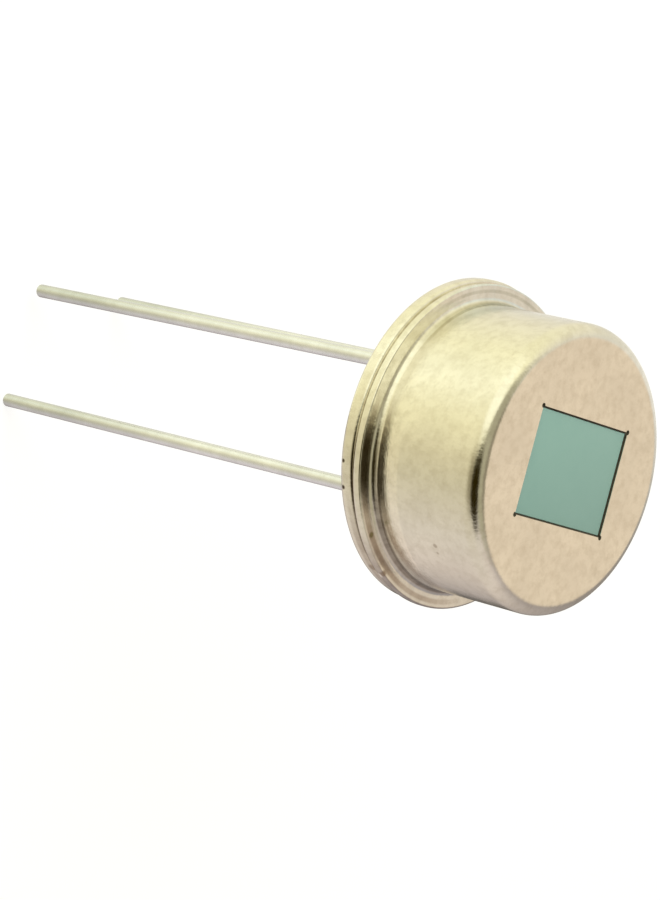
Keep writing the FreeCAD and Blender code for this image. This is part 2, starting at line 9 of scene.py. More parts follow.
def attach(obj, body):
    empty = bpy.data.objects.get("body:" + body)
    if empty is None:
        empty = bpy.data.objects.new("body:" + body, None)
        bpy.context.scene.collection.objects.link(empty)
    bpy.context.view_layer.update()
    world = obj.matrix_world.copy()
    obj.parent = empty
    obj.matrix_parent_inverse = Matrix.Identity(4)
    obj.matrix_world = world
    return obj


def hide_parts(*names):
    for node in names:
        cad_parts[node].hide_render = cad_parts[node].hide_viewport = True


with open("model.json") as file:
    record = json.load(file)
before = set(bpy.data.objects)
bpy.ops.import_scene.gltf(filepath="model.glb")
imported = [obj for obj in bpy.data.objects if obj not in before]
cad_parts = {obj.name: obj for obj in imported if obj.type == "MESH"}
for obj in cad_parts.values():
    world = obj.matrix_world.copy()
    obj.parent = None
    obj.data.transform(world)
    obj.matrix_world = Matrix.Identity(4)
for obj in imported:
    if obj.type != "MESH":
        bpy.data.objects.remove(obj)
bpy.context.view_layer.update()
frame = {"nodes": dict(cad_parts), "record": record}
print("frame loaded", len(frame["nodes"]), "nodes")

mm = 0.001
sharpAngle = 32
wrapRadius = 4.0
madePieces = []


# mesh helpers

def arcPoints(centre, radius, start, end, steps):
    points = []
    for i in range(steps + 1):
        angle = math.radians(start + (end - start) * i / steps)
        points.append((centre[0] + radius * math.cos(angle), centre[1] + radius * math.sin(angle)))
    return points


def straightPoints(start, end, steps):
    # the points between both ends, without the ends
    return [
        (start[0] + (end[0] - start[0]) * i / steps, start[1] + (end[1] - start[1]) * i / steps)
        for i in range(1, steps)
    ]


def addPiece(node, meshData, slotName):
    # each piece takes the place of the CAD node of its name
    piece = bpy.data.objects.new(node, meshData)
    bpy.context.scene.collection.objects.link(piece)
    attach(piece, "root")
    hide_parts(node)
    madePieces.append((piece, slotName))
    return piece


def shadeMesh(meshData, sharp=sharpAngle):
    for polygon in meshData.polygons:
        polygon.use_smooth = True
    meshData.set_sharp_from_angle(angle=math.radians(sharp))


def finishMesh(bm, name, sharp=sharpAngle):
    bmesh.ops.recalc_face_normals(bm, faces=bm.faces)
    meshData = bpy.data.meshes.new(name)
    bm.to_mesh(meshData)
    bm.free()
    shadeMesh(meshData, sharp)
    return meshData


def easeEdges(bm, edges, width, steps):
    bmesh.ops.bevel(bm, geom=edges, offset=width * mm, segments=steps, affect="EDGES", profile=0.5)


def movedMesh(meshData, x, y):
    meshData.transform(Matrix.Translation((x * mm, y * mm, 0)))
    return meshData


def lathe(profile, segments, closed=True, wobble=None):
    # profile is (radius, height) in mm, turned about the vertical axis
    onAxis = 1e-6
    bm = bmesh.new()
    rings = []
    for radius, height in profile:
        if radius < onAxis:
            rings.append([bm.verts.new((0, 0, height * mm))])
            continue
        ring = []
        for i in range(segments):
            angle = 2 * math.pi * i / segments
            r = radius - (wobble(radius, height, angle) if wobble else 0)
            ring.append(bm.verts.new((r * math.cos(angle) * mm, r * math.sin(angle) * mm, height * mm)))
        rings.append(ring)
    count = len(rings)
    for k in range(count if closed else count - 1):
        a = rings[k]
        b = rings[(k + 1) % count]
        if len(a) == 1 and len(b) == 1:
            continue
        for i in range(segments):
            j = (i + 1) % segments
            if len(a) == 1:
                bm.faces.new((a[0], b[i], b[j]))
            elif len(b) == 1:
                bm.faces.new((a[i], a[j], b[0]))
            else:
                bm.faces.new((a[i], a[j], b[j], b[i]))
    return bm


def cutWith(meshData, cutterData, name):
    # plain boolean difference, both meshes already in place
    target = bpy.data.objects.new(name + "Work", meshData)
    cutter = bpy.data.objects.new(name + "Cutter", cutterData)
    for thing in (target, cutter):
        bpy.context.scene.collection.objects.link(thing)
    modifier = target.modifiers.new("cut", "BOOLEAN")
    modifier.operation = "DIFFERENCE"
    modifier.solver = "EXACT"
    modifier.object = cutter
    bpy.context.view_layer.update()
    graph = bpy.context.evaluated_depsgraph_get()
    result = bpy.data.meshes.new_from_object(target.evaluated_get(graph))
    result.name = name
    bpy.data.objects.remove(target)
    bpy.data.objects.remove(cutter)
    return result


def boxOutline(length, width, cornerRadius=0.0, steps=6):
    x = length / 2
    y = width / 2
    if not cornerRadius:
        return [(x, y), (-x, y), (-x, -y), (x, -y)]
    points = []
    for sx, sy, start in ((1, 1, 0), (-1, 1, 90), (-1, -1, 180), (1, -1, 270)):
        centre = (sx * (x - cornerRadius), sy * (y - cornerRadius))
        points += arcPoints(centre, cornerRadius, start, start + 90, steps)
    return points


def reliefOutline(length, width, radius, steps, along=1):
    # rectangle with a small relief hole on each corner
    points = []
    for sx, sy, start in ((1, 1, -90), (-1, 1, 0), (-1, -1, 90), (1, -1, 180)):
        corner = arcPoints((sx * length / 2, sy * width / 2), radius, start, start + 270, steps)
        if points:
            points += straightPoints(points[-1], corner[0], along)
        points += corner
    return points + straightPoints(points[-1], points[0], along)


def prism(outline, low, high, turn=0.0):
    bm = bmesh.new()
    spin = Matrix.Rotation(math.radians(turn), 3, "Z")
    lower = [bm.verts.new(spin @ Vector((x * mm, y * mm, low * mm))) for x, y in outline]
    upper = [bm.verts.new(spin @ Vector((x * mm, y * mm, high * mm))) for x, y in outline]
    bm.faces.new(list(reversed(lower)))
    bm.faces.new(upper)
    for i in range(len(outline)):
        j = (i + 1) % len(outline)
        bm.faces.new((lower[i], lower[j], upper[j], upper[i]))
    return bm


# material helpers

class Nodes:
    # adds and joins the nodes of one material or of the world

    def __init__(self, owner):
        owner.use_nodes = True
        self.owner = owner
        self.tree = owner.node_tree
        self.count = 0

    def add(self, kind, **values):
        node = self.tree.nodes.new(kind)
        self.count += 1
        node.location = (-220 * (self.count % 6) - 300, -180 * (self.count // 6))
        for key, value in values.items():
            setattr(node, key, value)
        return node

    def link(self, source, target):
        self.tree.links.new(source, target)

    def number(self, operation, *values):
        node = self.add("ShaderNodeMath", operation=operation)
        for socket, value in zip(node.inputs, values):
            if isinstance(value, (int, float)):
                socket.default_value = value
            else:
                self.link(value, socket)
        return node.outputs[0]

    def product(self, first, *others):
        for other in others:
            first = self.number("MULTIPLY", first, other)
        return first

    def place(self, lift=0.0):
        # object position in mm, lifted so that the piece's own axis is in the middle
        coords = self.add("ShaderNodeTexCoord")
        scaled = self.add("ShaderNodeVectorMath", operation="SCALE")
        self.link(coords.outputs["Object"], scaled.inputs[0])
        scaled.inputs["Scale"].default_value = 1 / mm
        lifted = self.add("ShaderNodeVectorMath", operation="ADD")
        self.link(scaled.outputs[0], lifted.inputs[0])
        lifted.inputs[1].default_value = (0, lift, 0)
        return lifted.outputs[0]

    def wallPlace(self, position):
        # unrolled position: arc length round the axis, height, radius
        parts = self.add("ShaderNodeSeparateXYZ")
        self.link(position, parts.inputs[0])
        x, y, height = parts.outputs
        squares = self.number("ADD", self.number("MULTIPLY", x, x), self.number("MULTIPLY", y, y))
        radius = self.number("SQRT", squares)
        angle = self.number("ARCTAN2", y, x)
        joined = self.add("ShaderNodeCombineXYZ")
        for socket, value in zip(joined.inputs, (self.number("MULTIPLY", angle, wrapRadius), height, radius)):
            self.link(value, socket)
        return joined.outputs[0], angle, radius, height

    def stretched(self, position, x, y, z):
        node = self.add("ShaderNodeVectorMath", operation="MULTIPLY")
        self.link(position, node.inputs[0])
        node.inputs[1].default_value = (x, y, z)
        return node.outputs[0]

    def noiseAt(self, position, scale, detail, roughness):
        node = self.add("ShaderNodeTexNoise")
        self.link(position, node.inputs["Vector"])
        for key, value in (("Scale", scale), ("Detail", detail), ("Roughness", roughness)):
            node.inputs[key].default_value = value
        return node.outputs["Fac"]

    def spread(self, value, low, high, toLow=0.0, toHigh=1.0, easing="LINEAR"):
        node = self.add("ShaderNodeMapRange", clamp=True, interpolation_type=easing)
        self.link(value, node.inputs["Value"])
        for key, number in (("From Min", low), ("From Max", high), ("To Min", toLow), ("To Max", toHigh)):
            node.inputs[key].default_value = number
        return node.outputs["Result"]

    def blendColours(self, factor, first, second, blend="MIX"):
        node = self.add("ShaderNodeMix", data_type="RGBA", blend_type=blend)
        self.link(factor, node.inputs["Factor"])
        for socket, value in ((node.inputs[6], first), (node.inputs[7], second)):
            if isinstance(value, tuple):
                socket.default_value = (*value, 1)
            else:
                self.link(value, socket)
        return node.outputs[2]

    def bump(self, height, distance):
        node = self.add("ShaderNodeBump")
        node.inputs["Strength"].default_value = 1.0
        node.inputs["Distance"].default_value = distance
        self.link(height, node.inputs["Height"])
        return node.outputs["Normal"]

    def cameraMix(self, elsewhere, seen):
        # one shader for the camera's own rays, the other for all the rest
        path = self.add("ShaderNodeLightPath")
        mix = self.add("ShaderNodeMixShader")
        self.link(path.outputs["Is Camera Ray"], mix.inputs[0])
        self.link(elsewhere, mix.inputs[1])
        self.link(seen, mix.inputs[2])
        return mix.outputs[0]


def newSurface(name):
    n = Nodes(bpy.data.materials.new(name))
    return n, n.tree.nodes["Principled BSDF"]


# noise settings of all plated metals: detail and roughness, then how each noise is spread
plateNoise = {
    "mottle": (5, 0.6),
    "cloud": (3, 0.5),
    "grain": (3, 0.7),
    "lines": (3, 0.6),
    "lineAcross": 0.6,
    "streakUp": 0.8,
    "streakShare": 0.5,
    "cloudRange": (0.35, 0.65),
    "mottleRange": (0.42, 0.68),
    "speckRange": (0.62, 0.80),
    "evenRange": (0.3, 0.7),
    "lineRough": 0.03,
    "bandFade": 20,
    "bandLeast": 0.75,
    "markCore": 0.5,
}


def platedMetal(name, look):
    # satin nickel plate: mottled tint, fine grain, faint drawn lines,
    # painted shade and painted highlight bands along the flange, and small marks
    p = plateNoise
    even = p["evenRange"]
    across = p["lineAcross"]
    n, shader = newSurface(name)
    position = n.place(look["lift"])
    unrolled, angle, radius, height = n.wallPlace(position)
    mottle = n.noiseAt(position, look["mottleScale"], *p["mottle"])
    cloud = n.noiseAt(position, look["cloudScale"], *p["cloud"])
    grain = n.noiseAt(position, look["grainScale"], *p["grain"])
    lines = n.noiseAt(n.stretched(unrolled, across, look["lineScale"], across), 1.0, *p["lines"])
    streakScale = look["lineScale"] * p["streakShare"]
    streaks = n.noiseAt(n.stretched(unrolled, streakScale, p["streakUp"], across), 1.0, *p["lines"])
    tint = n.blendColours(n.spread(cloud, *p["cloudRange"]), look["tintLow"], look["tintHigh"])
    worn = n.spread(mottle, *p["mottleRange"], 0, look["mottleAmount"])
    tint = n.blendColours(worn, tint, look["mottleTint"])
    specks = n.spread(grain, *p["speckRange"], 0, look["speckAmount"])
    tint = n.blendColours(specks, tint, look["speckTint"])
    # painted light: each band multiplies painted shade (tint below 1) or a painted highlight (tint above 1)
    # into the colour, on one side round the axis
    for low, high, inner, outer, soft, middle, reach, paintedLightTint in look["paintedLightBands"]:
        side = n.number("COSINE", n.number("SUBTRACT", angle, math.radians(middle)))
        within = n.product(
            n.spread(side, math.cos(math.radians(reach + p["bandFade"])), math.cos(math.radians(reach))),
            n.spread(height, low - soft, low),
            n.spread(height, high + soft, high),
            n.spread(radius, inner - soft, inner),
            n.spread(radius, outer + soft, outer),
            n.spread(streaks, *even, p["bandLeast"], 1),
        )
        tint = n.blendColours(within, tint, paintedLightTint, "MULTIPLY")
    for place, size, markTint, amount in look["marks"]:
        away = n.add("ShaderNodeVectorMath", operation="DISTANCE")
        n.link(position, away.inputs[0])
        away.inputs[1].default_value = place
        within = n.spread(away.outputs["Value"], size, size * p["markCore"], 0, amount)
        tint = n.blendColours(within, tint, markTint)
    n.link(tint, shader.inputs["Base Color"])
    shader.inputs["Metallic"].default_value = 1.0
    cloudy = n.spread(mottle, *even, look["roughLow"], look["roughHigh"])
    brushed = n.spread(lines, *even, -p["lineRough"], p["lineRough"])
    n.link(n.number("ADD", cloudy, brushed), shader.inputs["Roughness"])
    relief = n.number("MULTIPLY", lines, look["lineDepth"])
    for pattern, depth in ((streaks, "streakDepth"), (grain, "grainDepth"), (mottle, "mottleDepth")):
        relief = n.number("ADD", relief, n.number("MULTIPLY", pattern, look[depth]))
    n.link(n.bump(relief, mm), shader.inputs["Normal"])
    return n.owner


usualSurface = {
    "cloudScale": 1.5,
    "cloud": (4, 0.6),
    "grainScale": 30,
    "grain": (3, 0.7),
    "grainDepth": 0.002,
    "range": (0.3, 0.7),
    "metallic": 0.0,
    "specular": 0.5,
}


def plainSurface(name, tintLow, tintHigh, roughLow, roughHigh, special=None):
    # even surface with slight colour drift, grain and roughness change
    look = {**usualSurface, **(special or {})}
    n, shader = newSurface(name)
    position = n.place()
    cloud = n.noiseAt(position, look["cloudScale"], *look["cloud"])
    grain = n.noiseAt(position, look["grainScale"], *look["grain"])
    n.link(n.blendColours(n.spread(cloud, *look["range"]), tintLow, tintHigh), shader.inputs["Base Color"])
    n.link(n.spread(grain, *look["range"], roughLow, roughHigh), shader.inputs["Roughness"])
    n.link(n.bump(grain, look["grainDepth"] * mm), shader.inputs["Normal"])
    shader.inputs["Metallic"].default_value = look["metallic"]
    shader.inputs["Specular IOR Level"].default_value = look["specular"]
    return n.owner


# sizes in mm shared by several pieces
shell = {
    "flangeRadius": 4.598,
    "canRadius": 4.058,
    "canInside": 3.86,
    "rimHeight": 0.48,
    "segments": 288,
    "canTurn": -5.0,
    "canOffset": 0.09,
    "pinOffset": 1.79605,
}
pinSides = {"drain": (1, 1), "source": (-1, 1), "ground": (-1, -1)}


def pinPlace(pin):
    return tuple(side * shell["pinOffset"] for side in pinSides[pin])


def offsetCan(meshData):
    # the can stands a little off the middle of the header
    return movedMesh(meshData, 0, -shell["canOffset"])


# can: drawn cup with a flat flange, a rounded front corner and the window
canLook = {
    "rimRound": 0.14,
    "rimSteps": 8,
    "rimTopRound": 0.05,
    "rimTopSteps": 6,
    "rimTop": 0.78,
    "footRound": 0.2,
    "footSteps": 14,
    "wallSteps": 24,
    "face": 4.4,
    "faceSteps": 4,
    "faceThickness": 0.15,
    "cornerRound": 0.46,
    "cornerSteps": 20,
    "innerSteps": 8,
    "windowLength": 4.0,
    "windowWidth": 3.0,
    "reliefRadius": 0.07,
    "reliefSteps": 15,
    "overcut": 0.5,
    "waveDepth": 0.004,
    "waveAround": 1.3,
    "waveUp": 0.35,
    "waveRadius": 3.9,
    "waveHeight": 0.9,
}


def canWave(radius, height, angle):
    # the drawn wall isn't quite true above its foot
    c = canLook
    if radius < c["waveRadius"] or height < c["waveHeight"]:
        return 0
    around = c["waveAround"]
    spot = Vector((math.cos(angle) * around, math.sin(angle) * around, height * c["waveUp"]))
    return c["waveDepth"] * (0.5 + 0.5 * noise.noise(spot))


def buildCan():
    c = canLook
    edge = shell["flangeRadius"]
    wall = shell["canRadius"]
    inside = shell["canInside"]
    low = c["rimRound"]
    top = c["rimTopRound"]
    foot = c["footRound"]
    corner = c["cornerRound"]
    inner = corner - (wall - inside)
    ceiling = c["face"] - c["faceThickness"]
    profile = [(inside, shell["rimHeight"])]
    profile += arcPoints((edge - low, shell["rimHeight"] + low), low, -90, 0, c["rimSteps"])
    profile += arcPoints((edge - top, c["rimTop"] - top), top, 0, 90, c["rimTopSteps"])
    profile += arcPoints((wall + foot, c["rimTop"] + foot), foot, 270, 180, c["footSteps"])
    profile += straightPoints((wall, c["rimTop"] + foot), (wall, c["face"] - corner), c["wallSteps"])
    profile += arcPoints((wall - corner, c["face"] - corner), corner, 0, 90, c["cornerSteps"])
    profile += straightPoints((wall - corner, c["face"]), (0, c["face"]), c["faceSteps"])
    profile += [(0, c["face"]), (0, ceiling)]
    profile += arcPoints((inside - inner, ceiling - inner), inner, 90, 0, c["innerSteps"])
    body = finishMesh(lathe(profile, shell["segments"], True, canWave), "canBody")
    opening = reliefOutline(c["windowLength"], c["windowWidth"], c["reliefRadius"], c["reliefSteps"])
    cutter = prism(opening, ceiling - c["overcut"], c["face"] + c["overcut"], shell["canTurn"])
    cut = cutWith(body, finishMesh(cutter, "windowCutter"), "canShell")
    shadeMesh(cut)
    return addPiece("can", offsetCan(cut), "can_nickel")


can = buildCan()
print("can built", len(can.data.polygons))


# header: flanged disc under the can, with its deck, index tab and lead holes
headerLook = {
    "rimRound": 0.19,
    "rimSteps": 10,
    "rimTopRound": 0.10,
    "rimTopSteps": 8,
    "plateSteps": 4,
    "deckRadius": 3.5,
    "deckHeight": 0.85,
    "deckRound": 0.12,
    "deckSteps": 6,
    "holes": {"drain": 0.75, "source": 0.75, "ground": 0.4},
    "holeSides": 96,
    "holeLow": -0.5,
    "holeHigh": 1.5,
    "tabRoot": 4.2,
    "tabReach": 0.85,
    "tabWidth": 0.8,
    "tabCorner": 0.12,
    "tabInset": 0.004,
    "tabEase": 0.06,
    "easeSteps": 3,
}


def buildTab():
    # the index tab grows out of the rim, with eased edges
    h = headerLook
    reach = shell["flangeRadius"] + h["tabReach"]
    outline = boxOutline(reach - h["tabRoot"], h["tabWidth"], h["tabCorner"])
    tab = prism(outline, h["tabInset"], shell["rimHeight"] - h["tabInset"])
    bmesh.ops.translate(tab, verts=tab.verts, vec=((reach + h["tabRoot"]) / 2 * mm, 0, 0))
    flat = 1e-9
    level = [edge for edge in tab.edges if abs(edge.verts[0].co.z - edge.verts[1].co.z) < flat]
    easeEdges(tab, level, h["tabEase"], h["easeSteps"])
    return finishMesh(tab, "tabBody")


def buildHeader():
    h = headerLook
    edge = shell["flangeRadius"]
    rim = shell["rimHeight"]
    low = h["rimRound"]
    top = h["rimTopRound"]
    deck = h["deckRound"]
    profile = [(0, 0)]
    profile += straightPoints((0, 0), (edge - low, 0), h["plateSteps"])
    profile += arcPoints((edge - low, low), low, -90, 0, h["rimSteps"])
    profile += arcPoints((edge - top, rim - top), top, 0, 90, h["rimTopSteps"])
    profile += [(h["deckRadius"], rim)]
    profile += arcPoints((h["deckRadius"] - deck, h["deckHeight"] - deck), deck, 0, 90, h["deckSteps"])
    profile += [(0, h["deckHeight"])]
    body = finishMesh(lathe(profile, shell["segments"], False), "headerBody")
    for pin, radius in h["holes"].items():
        hole = [(0, h["holeLow"]), (radius, h["holeLow"]), (radius, h["holeHigh"]), (0, h["holeHigh"])]
        drill = finishMesh(lathe(hole, h["holeSides"], False), "drill")
        body = cutWith(body, movedMesh(drill, *pinPlace(pin)), "headerBody")
    joined = bmesh.new()
    joined.from_mesh(body)
    joined.from_mesh(buildTab())
    return addPiece("header", finishMesh(joined, "headerShell"), "header_nickel")


header = buildHeader()
print("header built", len(header.data.polygons))

# leads: round wires with a slight bend under the seat and cut tips
leadLook = {
    "radius": 0.1995,
    "sides": 40,
    "top": 2.73,
    "middle": 0.6,
    "bendStart": 0.4,
    "bendRun": 0.8,
    "bendSteps": 6,
    "runSteps": 24,
    "tipRound": 0.05,
    "tipSteps": 4,
    "sharp": 40,
    # tilt in degrees and how far the tip reaches below the seat
    "leads": {
        "drain": (0.7, 15.6),
        "source": (0.95, 15.5),
        "ground": (0.6, 16.0),
    },
}


def leadCentre(tilt, tip):
    # centre line in mm from the top down: sideways offset, height and lean
    w = leadLook
    radius = w["bendRun"] / math.radians(tilt)
    swing = math.asin(w["bendRun"] / radius)
    line = [(0, w["top"], 0), (0, w["middle"], 0), (0, 0, 0)]
    for i in range(w["bendSteps"] + 1):
        angle = swing * i / w["bendSteps"]
        line.append((radius - radius * math.cos(angle), -w["bendStart"] - radius * math.sin(angle), 0))
    side, height, lean = line[-1]
    run = tip + height
    for i in range(1, w["runSteps"] + 1):
        share = i / w["runSteps"]
        line.append((side + run * math.tan(swing) * share, height - run * share, swing))
    return line


def buildLead(pin, tilt, tip):
    w = leadLook
    middleX, middleY = pinPlace(pin)
    bm = bmesh.new()

    def ring(side, height, lean, radius):
        verts = []
        for i in range(w["sides"]):
            angle = 2 * math.pi * i / w["sides"]
            x = middleX + radius * math.cos(angle)
            y = middleY - side - radius * math.sin(angle) * math.cos(lean)
            z = height + radius * math.sin(angle) * math.sin(lean)
            verts.append(bm.verts.new((x * mm, y * mm, z * mm)))
        return verts

    line = leadCentre(tilt, tip)
    rings = [ring(*point, w["radius"]) for point in line[:-1]]
    side, height, lean = line[-1]
    for step in range(w["tipSteps"] + 1):
        angle = math.radians(90 * step / w["tipSteps"])
        drop = w["tipRound"] * (1 - math.sin(angle))
        inset = w["tipRound"] * (1 - math.cos(angle))
        rings.append(ring(side, height + drop, lean, w["radius"] - inset))
    for a, b in zip(rings, rings[1:]):
        for i in range(w["sides"]):
            j = (i + 1) % w["sides"]
            bm.faces.new((a[i], b[i], b[j], a[j]))
    bm.faces.new(rings[0])
    bm.faces.new(list(reversed(rings[-1])))
    name = "lead_" + pin
    return addPiece(name, finishMesh(bm, name, w["sharp"]), "lead_plate")


for pin, values in leadLook["leads"].items():
    buildLead(pin, *values)
print("leads built")

# glass seals and the braze, seen from below as rings round the leads
sealLook = {
    "leadGap": 0.0005,
    "steps": 10,
    "sides": 72,
    "climb": 3,
    # lead, outer radius, underside at the edge and at the lead, top at the edge and at the lead, slot
    "rings": {
        "glass_seal_drain": ("drain", 0.75, 0.07, 0.02, 0.78, 0.83, "seal_glass"),
        "glass_seal_source": ("source", 0.75, 0.07, 0.02, 0.78, 0.83, "seal_glass"),
        "ground_lead_braze": ("ground", 0.4, 0.03, 0.0, 0.85, 0.85, "braze_metal"),
    },
}


def buildRing(name, pin, outer, low, lowLead, high, highLead, slotName):
    inner = leadLook["radius"] + sealLook["leadGap"]

    def curve(edge, lead):
        # the surface climbs towards the lead
        points = []
        for i in range(sealLook["steps"] + 1):
            share = i / sealLook["steps"]
            level = edge + (lead - edge) * (1 - share) ** sealLook["climb"]
            points.append((inner + (outer - inner) * share, level))
        return points

    profile = curve(low, lowLead) + curve(high, highLead)[::-1]
    meshData = finishMesh(lathe(profile, sealLook["sides"]), name)
    return addPiece(name, movedMesh(meshData, *pinPlace(pin)), slotName)


for name, values in sealLook["rings"].items():
    buildRing(name, *values)
print("seals built")

# filter plate standing in the window, its edges slightly eased
filterLook = {"clearance": 0.045, "bottom": 3.85, "top": 4.35, "ease": 0.02, "easeSteps": 3}


def filterSize():
    gap = 2 * filterLook["clearance"]
    return canLook["windowLength"] - gap, canLook["windowWidth"] - gap


def buildFilter():
    f = filterLook
    bm = prism(boxOutline(*filterSize()), f["bottom"], f["top"], shell["canTurn"])
    easeEdges(bm, bm.edges[:], f["ease"], f["easeSteps"])
    return addPiece("ir_filter", offsetCan(finishMesh(bm, "ir_filter")), "filter_coat")


buildFilter()

# adhesive: bead behind the face, and the dark line that fills the gap and the corner reliefs
glueLook = {
    "beadWidth": 0.35,
    "beadBottom": 4.0,
    "beadRound": 0.4,
    "overcut": 1,
    "ceiling": 4.25,
    "fillTop": 4.36,
    "fit": 0.001,
    "steps": 15,
    "along": 24,
    "sag": 0.012,
    "sagScale": 2.3,
    "sagSeed": 3.7,
    "merge": 0.0004,
    "sharp": 50,
}


def buildBead(length, width):
    g = glueLook
    outline = boxOutline(length + 2 * g["beadWidth"], width + 2 * g["beadWidth"], g["beadRound"])
    bead = prism(outline, g["beadBottom"], g["ceiling"], shell["canTurn"])
    window = boxOutline(length, width)
    hollow = prism(window, g["beadBottom"] - g["overcut"], g["ceiling"] + g["overcut"], shell["canTurn"])
    return cutWith(finishMesh(bead, "beadBody"), finishMesh(hollow, "beadHollow"), "beadBody")


def buildGlue():
    g = glueLook
    c = canLook
    length, width = filterSize()
    bead = buildBead(length, width)
    bm = bmesh.new()
    spin = Matrix.Rotation(math.radians(shell["canTurn"]), 3, "Z")
    windowSize = (c["windowLength"] - g["fit"], c["windowWidth"] - g["fit"])
    rim = reliefOutline(*windowSize, c["reliefRadius"], g["steps"], g["along"])
    # share of the way from the window's edge to the filter, level
    course = ((0, g["ceiling"]), (0, g["fillTop"]), (0.5, g["fillTop"]), (1, g["fillTop"]), (1, g["ceiling"]))
    loops = []
    for share, level in course:
        loop = []
        for x, y in rim:
            innerX = max(-length / 2, min(length / 2, x))
            innerY = max(-width / 2, min(width / 2, y))
            px = x + (innerX - x) * share
            py = y + (innerY - y) * share
            z = level
            if level == g["fillTop"]:
                wander = noise.noise(Vector((px * g["sagScale"], py * g["sagScale"], g["sagSeed"])))
                z -= g["sag"] * (0.5 + 0.5 * wander) + (g["sag"] if share == 0.5 else 0)
            loop.append(bm.verts.new(spin @ Vector((px * mm, py * mm, z * mm))))
        loops.append(loop)
    count = len(rim)
    for lower, upper in zip(loops, loops[1:] + loops[:1]):
        for i in range(count):
            j = (i + 1) % count
            bm.faces.new((lower[i], lower[j], upper[j], upper[i]))
    bmesh.ops.remove_doubles(bm, verts=bm.verts[:], dist=g["merge"] * mm)
    bm.from_mesh(bead)
    meshData = finishMesh(bm, "filter_adhesive", g["sharp"])
    return addPiece("filter_adhesive", offsetCan(meshData), "filter_epoxy")


buildGlue()
print("filter and adhesive built")

# metals
nickel = {
    "tintLow": (0.80, 0.775, 0.71),
    "tintHigh": (0.87, 0.845, 0.775),
    "mottleTint": (0.65, 0.61, 0.53),
    "mottleAmount": 0.5,
    "speckTint": (0.46, 0.42, 0.34),
    "speckAmount": 0.35,
    "mottleScale": 3.8,
    "cloudScale": 0.7,
    "grainScale": 16.0,
    "lineScale": 9.0,
    "roughLow": 0.13,
    "roughHigh": 0.20,
    "lineDepth": 0.0030,
    "streakDepth": 0.0020,
    "grainDepth": 0.0030,
    "mottleDepth": 0.0060,
    "lift": 0.0,
    # lowest and highest level, inner and outer radius, softness, middle and reach round the axis, tint that
    # paints shade where below 1 and a highlight where above 1
    "paintedLightBands": [],
    # place, size, tint, amount
    "marks": [],
}
canMetal = {
    **nickel,
    "lift": shell["canOffset"],
    # painted shade at the wall's foot, on the flange top, along the flange's outer edge and in the groove
    # over the header; a painted highlight on the wall above the foot; painted cool reflections on the flange
    # top
    "paintedLightBands": [
        (0.84, 0.98, 3.9, 4.12, 0.07, 243, 34, (0.30, 0.27, 0.26)),
        (1.20, 1.60, 3.9, 4.20, 0.08, 222, 28, (1.15, 1.14, 1.13)),
        (0.70, 0.80, 4.32, 4.47, 0.05, 205, 24, (0.60, 0.54, 0.48)),
        (0.70, 0.80, 4.35, 4.44, 0.05, 248, 16, (0.66, 0.60, 0.56)),
        (0.86, 1.00, 3.9, 4.12, 0.06, 100, 24, (0.66, 0.64, 0.56)),
        (0.74, 0.80, 4.16, 4.60, 0.04, 80, 26, (0.93, 1.02, 1.15)),
        (0.74, 0.80, 4.38, 4.43, 0.04, 88, 24, (0.78, 0.78, 0.74)),
        (0.74, 0.80, 4.16, 4.60, 0.04, 274, 24, (0.84, 0.88, 0.98)),
        (0.50, 0.80, 4.56, 4.60, 0.03, 262, 26, (0.50, 0.46, 0.47)),
        (0.48, 0.53, 4.44, 4.57, 0.03, 230, 28, (0.35, 0.31, 0.28)),
    ],
    "marks": [
        ((-3.114, -2.605, 2.754), 0.09, (0.42, 0.37, 0.31), 0.7),
        ((-2.95, -2.79, 2.76), 0.06, (0.46, 0.41, 0.35), 0.6),
        ((-2.59, -3.77, 0.76), 0.13, (0.28, 0.22, 0.17), 0.9),
        ((-2.53, -3.84, 0.58), 0.13, (0.97, 0.93, 0.88), 0.9),
        ((-3.44, -2.74, 0.78), 0.11, (0.20, 0.17, 0.08), 0.9),
    ],
}
headerMetal = {
    **nickel,
    # painted shade on the rim's lower side and in the groove under the can
    "paintedLightBands": [
        (0.30, 0.48, 4.50, 4.60, 0.08, 252, 30, (0.66, 0.62, 0.60)),
        (0.44, 0.48, 4.40, 4.57, 0.03, 230, 28, (0.40, 0.36, 0.32)),
    ],
    "marks": [
        ((-4.49, -0.99, 0.16), 0.07, (0.10, 0.08, 0.05), 1.0),
        ((-4.27, -1.70, 0.16), 0.08, (0.08, 0.06, 0.04), 1.0),
        ((-2.64, -3.77, 0.38), 0.16, (0.32, 0.26, 0.20), 0.8),
    ],
}
leadMetal = {
    **nickel,
    "tintLow": (0.76, 0.79, 0.88),
    "tintHigh": (0.84, 0.87, 0.96),
    "mottleTint": (0.66, 0.68, 0.70),
    "mottleAmount": 0.35,
    "speckAmount": 0.25,
    # painted shade: the leads darker towards their tips
    "paintedLightBands": [(-20.0, -13.5, 0.0, 9.0, 4.5, 0, 160, (0.74, 0.755, 0.74))],
    "grainScale": 20.0,
    "grainDepth": 0.0014,
    "roughLow": 0.22,
    "roughHigh": 0.30,
    "lineDepth": 0.0006,
    "mottleDepth": 0.0025,
}

